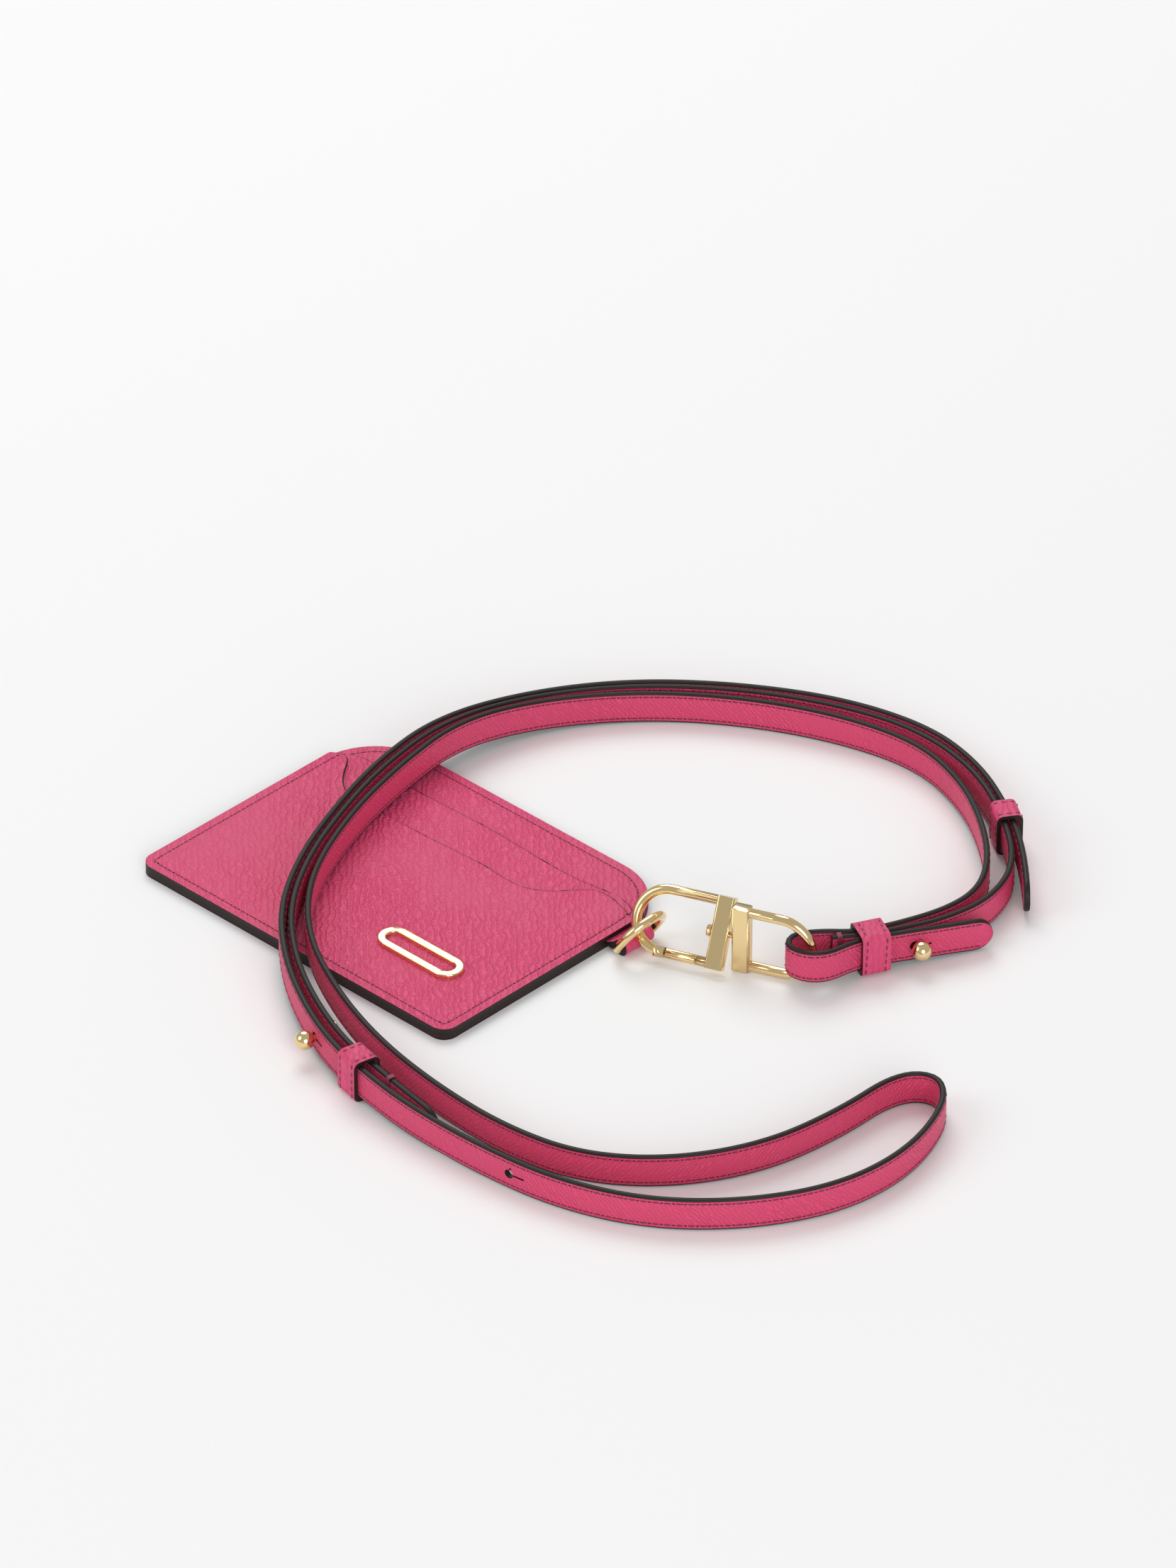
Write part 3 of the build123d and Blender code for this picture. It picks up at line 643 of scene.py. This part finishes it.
def roll_mouth(piece, top, lift):
    """Lets a card slot's mouth stand open a little and carries the edge paint over its corner: the dark band
    is partly real edge paint and partly painted shade of the gap under the lip.
    """
    lone(piece)
    walls = {}
    for face in piece.data.polygons:
        for key in face.edge_keys:
            walls.setdefault(key, []).append(face)
    bpy.ops.object.mode_set(mode="EDIT")
    bpy.ops.mesh.select_mode(type="EDGE")
    bpy.ops.mesh.select_all(action="DESELECT")
    bpy.ops.object.mode_set(mode="OBJECT")
    for edge in piece.data.edges:
        ends = [piece.data.vertices[i].co for i in edge.vertices]
        inside = all(edge_distance(co.x, co.y) > 0.3 * MM and co.z > top - 0.6 * MM for co in ends)
        faces = walls.get(edge.key, [])
        rim = (any(abs(face.normal.z) < 0.6 for face in faces)
               and any(face.normal.z > 0.6 for face in faces))
        edge.select = inside and rim
    rim = [piece.data.vertices[i].co.copy() for edge in piece.data.edges if edge.select
           for i in edge.vertices]
    for v in piece.data.vertices:
        gap = min(hypot(v.co.x - co.x, v.co.y - co.y) for co in rim)
        if gap < 4.0 * MM:
            v.co.z += lift * (1 - gap / (4.0 * MM)) ** 2
    bpy.ops.object.mode_set(mode="EDIT")
    # partly painted shade: the dark bevel also stands for the shadow in the gap under the mouth's lip
    bpy.ops.mesh.bevel(offset=0.32 * MM, segments=3, affect="EDGES", material=1, clamp_overlap=False)
    bpy.ops.object.mode_set(mode="OBJECT")


def side_filler(name, low, high, depth):
    """Painted edge band between the back and the front ply, round the base and both sides."""
    bpy.ops.object.select_all(action="DESELECT")
    bpy.ops.mesh.primitive_plane_add(size=1.0)
    piece = bpy.context.object
    piece.name = name
    bpy.ops.object.mode_set(mode="EDIT")
    bpy.ops.transform.resize(value=(depth, high - low, 1), center_override=(0, 0, 0))
    bpy.ops.transform.rotate(value=-pi / 2, orient_axis="X", center_override=(0, 0, 0))
    bpy.ops.transform.translate(value=(-HALF_L + depth / 2 + 0.02 * MM, 27.0 * MM, (low + high) / 2))
    bpy.ops.mesh.extrude_region_move(
        TRANSFORM_OT_translate={"value": (0, -27.0 * MM - HALF_W + BASE_R, 0)})
    bpy.ops.mesh.spin(steps=6, angle=-pi / 2, center=(-HALF_L + BASE_R, -HALF_W + BASE_R, 0),
                      axis=(0, 0, 1))
    bpy.ops.mesh.extrude_region_move(
        TRANSFORM_OT_translate={"value": (2 * (HALF_L - BASE_R), 0, 0)})
    bpy.ops.mesh.spin(steps=6, angle=-pi / 2, center=(HALF_L - BASE_R, -HALF_W + BASE_R, 0),
                      axis=(0, 0, 1))
    tab_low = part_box("tab")[0].y - 0.2 * MM
    bpy.ops.mesh.extrude_region_move(
        TRANSFORM_OT_translate={"value": (0, HALF_W - BASE_R + tab_low, 0)})
    bpy.ops.mesh.select_all(action="SELECT")
    bpy.ops.mesh.remove_doubles(threshold=1e-6)
    bpy.ops.mesh.normals_make_consistent(inside=False)
    bpy.ops.object.mode_set(mode="OBJECT")
    return piece


class WRISTLET_OT_wallet(bpy.types.Operator):
    """Softens the leather plies of the wallet and closes its painted edge"""
    bl_idname = "wristlet.wallet"
    bl_label = "Wallet plies"

    def execute(self, context):
        sizes, materials = context.scene.wristlet_sizes, finishes(context)
        for ply in PLIES:
            piece = from_node(ply, ply + "_leather")
            dissolve_flats(piece)
            low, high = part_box(ply)
            if ply == "base_panel":
                inset_rings(piece, high.z, (0.35 * MM, sizes.wallet_seam - 0.95 * MM) + (0.3 * MM,) * 4)
            if ply != "back_panel":
                grid_cuts(piece, 3.0 * MM, sizes.wallet_seam)
                for v in piece.data.vertices:
                    if v.co.z > high.z - 0.01 * MM or ply != "base_panel":
                        v.co.z -= soft_sink(v.co.x, v.co.y, sizes)
            paint_faces(piece, (materials["grained calf leather, wallet"], materials["painted edge"]),
                        lambda face: 1 if abs(face.normal.z) < 0.6 else 0)
            if ply.endswith("slot_panel"):
                roll_mouth(piece, high.z, sizes.mouth_lift)
            smooth(piece, 40.0)
            settle(piece, "wallet", [ply])
        band = side_filler("wallet_edge_band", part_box("back_panel")[1].z + 0.01 * MM,
                           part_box("base_panel")[0].z - 0.01 * MM, 1.1 * MM)
        paint_faces(band, (materials["painted edge"],), lambda face: 0)
        smooth(band)
        settle(band, "wallet")
        for node, finish in (("back_lining", "woven cotton lining"), ("front_lining", "woven cotton lining"),
                             ("pocket_divider", "grained calf leather, wallet")):
            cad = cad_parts[node].data
            cad.materials.clear()
            cad.materials.append(materials[finish])
        return {"FINISHED"}


def outline_walk(inset, pitch):
    """Places at a pitch along the wallet's outline, moved in by an inset, with their headings."""
    places = []
    x1, y0, y1 = HALF_L - inset, -HALF_W + inset, HALF_W - inset
    base, mouth = BASE_R - inset if BASE_R > inset else 0.3 * MM, MOUTH_R - inset
    runs = [((-x1 + base, y0), (x1 - base, y0), None, None),
            ((x1 - base, y0 + base), base, -pi / 2, "arc"),
            ((x1, y0 + base), (x1, y1 - mouth), None, None),
            ((x1 - mouth, y1 - mouth), mouth, 0.0, "arc"),
            ((x1 - mouth, y1), (-x1 + mouth, y1), None, None),
            ((-x1 + mouth, y1 - mouth), mouth, pi / 2, "arc"),
            ((-x1, y1 - mouth), (-x1, y0 + base), None, None),
            ((-x1 + base, y0 + base), base, pi, "arc")]
    for run in runs:
        if run[3] == "arc":
            (cx, cy), radius, start = run[0], run[1], run[2]
            count = max(1, round(radius * pi / 2 / pitch))
            for n in range(count):
                turn = start + (n + 0.5) * pi / 2 / count
                places.append((cx + radius * cos(turn), cy + radius * sin(turn), turn + pi / 2))
        else:
            (ax, ay), (bx, by) = run[0], run[1]
            span = hypot(bx - ax, by - ay)
            count = max(1, round(span / pitch))
            heading = pi / 2 if bx == ax and by > ay else -pi / 2 if bx == ax else 0.0 if bx > ax else pi
            for n in range(count):
                share = (n + 0.5) / count
                places.append((ax + (bx - ax) * share, ay + (by - ay) * share, heading))
    return places


def top_at(x, y):
    """Height of the uppermost ply at a place."""
    heights = [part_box("back_panel")[1].z]
    for ply in PLIES:
        piece = bpy.data.objects[ply + "_leather"]
        hit, place, normal, index = piece.ray_cast(Vector((x, y, 0.05)), Vector((0, 0, -1)))
        if hit:
            heights.append(place.z)
    return max(heights)


class WRISTLET_OT_wallet_seam(bpy.types.Operator):
    """Sews the wallet: one row of stitches round its outline"""
    bl_idname = "wristlet.wallet_seam"
    bl_label = "Wallet seam"

    def execute(self, context):
        sizes, materials = context.scene.wristlet_sizes, finishes(context)
        bpy.context.view_layer.update()
        stitches, holes = [], []
        walk = outline_walk(sizes.wallet_seam, sizes.stitch_pitch)
        for n, (x, y, heading) in enumerate(walk):
            along = Vector((cos(heading), sin(heading), 0))
            across = Vector((-sin(heading), cos(heading), 0))
            top = top_at(x, y)
            stitches.append(basis(Vector((x, y, top + 0.02 * MM)), along, across, Vector((0, 0, 1))))
            next_x, next_y = walk[(n + 1) % len(walk)][:2]
            middle = Vector(((x + next_x) / 2, (y + next_y) / 2, 0))
            middle.z = top_at(middle.x, middle.y)
            holes.append(basis(middle, along, across, Vector((0, 0, 1))))
        stitch = small_shape("stitch", sizes.stitch_length, sizes.stitch_width, sizes.stitch_width * 0.7)
        # painted shade for the needle holes: dark flat marks between the stitches
        hole = small_shape("hole", 0.9 * MM, 0.6 * MM, 0.16 * MM)
        settle(lay_copies("wallet_stitches", stitch, stitches, materials["twisted thread"]), "wallet")
        settle(lay_copies("wallet_needle_holes", hole, holes, materials["needle hole"]), "wallet")
        return {"FINISHED"}


# ---- hardware -----------------------------------------------------------------------------------------
class WRISTLET_OT_hardware(bpy.types.Operator):
    """Gives the clasp, ring, emblem and studs their smooth, polished surfaces"""
    bl_idname = "wristlet.hardware"
    bl_label = "Hardware"

    def execute(self, context):
        materials = finishes(context)
        for node, body in METAL_NODES.items():
            piece = from_node(node, node + "_plated")
            paint_faces(piece, (materials["polished gold plate"],), lambda face: 0)
            smooth(piece, 32.0)
            settle(piece, body, [node])
            if node.startswith("stud"):
                CORD_PIECES["strap_short"].append(piece)
        for node in ("emblem_prong_left", "emblem_prong_right"):
            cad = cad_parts[node].data
            cad.materials.clear()
            cad.materials.append(materials["polished gold plate"])
        return {"FINISHED"}


# ---- tab, keepers and thread ties -----------------------------------------------------------------------
def keeper_seam(keeper, distance, sizes):
    """Places of the stitches along both rims of a keeper, on its two walls and its top."""
    along, right, up = strap_line("strap_short").at(distance)[1:]
    low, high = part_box(keeper.name.removesuffix("_leather"))
    middle = (low + high) / 2
    bpy.context.view_layer.update()
    places = []
    for rim in (-2.6 * MM, 2.6 * MM):
        for out, across in ((right, up), (-right, up), (up, right)):
            for n in range(-2, 3):
                start = middle + along * rim + across * (n * 2.1 * MM) + out * 20 * MM
                hit, place, normal, index = keeper.ray_cast(start, -out)
                if hit and normal.dot(out) > 0.9:
                    places.append(basis(place, across, normal.cross(across), normal))
    return places


class WRISTLET_OT_keepers(bpy.types.Operator):
    """Makes the tab, the three keeper loops and the two thread ties"""
    bl_idname = "wristlet.keepers"
    bl_label = "Tab, keepers and ties"

    def execute(self, context):
        sizes, materials = context.scene.wristlet_sizes, finishes(context)
        leather, paint = materials["grained calf leather, wallet"], materials["painted edge"]
        stitch = small_shape("stitch", 0.8 * sizes.stitch_length, sizes.stitch_width,
                             0.7 * sizes.stitch_width)
        tab = from_node("tab", "tab_leather")
        paint_faces(tab, (leather, paint), lambda face: 1 if abs(face.normal.y) > 0.8 else 0)
        smooth(tab)
        settle(tab, "wallet", ["tab"])
        for node, distance in KEEPER_AT.items():
            along = strap_line("strap_short").at(distance)[1]
            keeper = from_node(node, node + "_leather")
            paint_faces(keeper, (leather, paint),
                        lambda face: 1 if abs(face.normal.dot(along)) > 0.8 else 0)
            smooth(keeper)
            settle(keeper, node, [node])
            seam = lay_copies(node + "_stitches", stitch, keeper_seam(keeper, distance, sizes),
                              materials["twisted thread"])
            settle(seam, node)
            CORD_PIECES["strap_short"] += [keeper, seam]
        for node in THREAD_TIES:
            tie = from_node(node, node + "_thread")
            paint_faces(tie, (materials["twisted thread"],), lambda face: 0)
            smooth(tie)
            settle(tie, "wallet", [node])
            CORD_PIECES["strap_short"].append(tie)
        return {"FINISHED"}


# ---- stage ----------------------------------------------------------------------------------------------
LOOK_AT = Vector((0.00044, 0.0646, 0.0))
CAMERA_DISTANCE, CAMERA_HEADING, CAMERA_TILT = 3.0, 43.91, 34.26
CAMERA_LENS, SENSOR_WIDTH = 269.95, 36.0


class WRISTLET_OT_stage(bpy.types.Operator):
    """Sets the floor, the soft light and the camera"""
    bl_idname = "wristlet.stage"
    bl_label = "Stage"

    def execute(self, context):
        colours = context.scene.wristlet_colours
        bpy.ops.object.select_all(action="DESELECT")
        bpy.ops.mesh.primitive_plane_add(size=12.0, location=(0, 0, -0.0001))
        floor = context.object
        floor.name = "floor"
        floor.data.materials.append(
            blank_material("matt paper sweep", Base_Color=tuple(colours.floor), Roughness=0.9,
                           Specular_IOR_Level=0.1)[0])
        turn = Matrix.Rotation(radians(CAMERA_HEADING), 3, "Z")
        for name, place, size, energy in (
                ("soft box behind", Vector((-0.25, 1.3, 1.7)), 1.5, 20.0),
                ("soft box left", Vector((-1.7, -0.5, 1.2)), 1.3, 8.0),
                ("soft box front", Vector((0.5, -1.9, 0.8)), 1.3, 16.0)):
            lamp = bpy.data.lights.new(name, "AREA")
            lamp.shape, lamp.size, lamp.energy = "DISK", size, energy
            holder = bpy.data.objects.new(name, lamp)
            bpy.context.collection.objects.link(holder)
            holder.location = LOOK_AT + turn @ place
            holder.rotation_euler = (LOOK_AT - holder.location).to_track_quat("-Z", "Y").to_euler()
        world = bpy.data.worlds.new("pale studio")
        world.use_nodes = True
        world.node_tree.nodes["Background"].inputs["Color"].default_value = (1, 1, 1, 1)
        world.node_tree.nodes["Background"].inputs["Strength"].default_value = 0.5
        context.scene.world = world
        context.scene.view_settings.view_transform = "Standard"
        camera = bpy.data.objects.new("camera", bpy.data.cameras.new("camera"))
        bpy.context.collection.objects.link(camera)
        camera.data.sensor_width, camera.data.lens = SENSOR_WIDTH, CAMERA_LENS
        camera.data.clip_end = 30.0
        camera.rotation_euler = (radians(90 - CAMERA_TILT), 0.0, radians(CAMERA_HEADING))
        back = camera.rotation_euler.to_matrix() @ Vector((0, 0, 1))
        camera.location = LOOK_AT + back * CAMERA_DISTANCE
        context.scene.camera = camera
        return {"FINISHED"}


class WRISTLET_PT_panel(bpy.types.Panel):
    """Shows the wristlet's sizes, colours and operator buttons in the sidebar"""
    bl_label = "Wristlet Wallet"
    bl_space_type = "VIEW_3D"
    bl_region_type = "UI"
    bl_category = "Wristlet"

    def draw(self, context):
        for group in (context.scene.wristlet_sizes, context.scene.wristlet_colours):
            for key in group.__annotations__:
                self.layout.prop(group, key)
        for operator in OPERATORS:
            self.layout.operator(operator.bl_idname)


OPERATORS = (WRISTLET_OT_stage, WRISTLET_OT_hardware, WRISTLET_OT_keepers, WRISTLET_OT_straps,
             WRISTLET_OT_wallet, WRISTLET_OT_wallet_seam)
CLASSES = (WristletSizes, WristletColours, *OPERATORS, WRISTLET_PT_panel)


def register():
    for item in CLASSES:
        bpy.utils.register_class(item)
    bpy.types.Scene.wristlet_sizes = bpy.props.PointerProperty(type=WristletSizes)
    bpy.types.Scene.wristlet_colours = bpy.props.PointerProperty(type=WristletColours)


def unregister():
    del bpy.types.Scene.wristlet_colours
    del bpy.types.Scene.wristlet_sizes
    for item in reversed(CLASSES):
        bpy.utils.unregister_class(item)


def main():
    register()
    for operator in OPERATORS:
        group, name = operator.bl_idname.split(".")
        getattr(getattr(bpy.ops, group), name)()


if __name__ == "__main__":
    main()
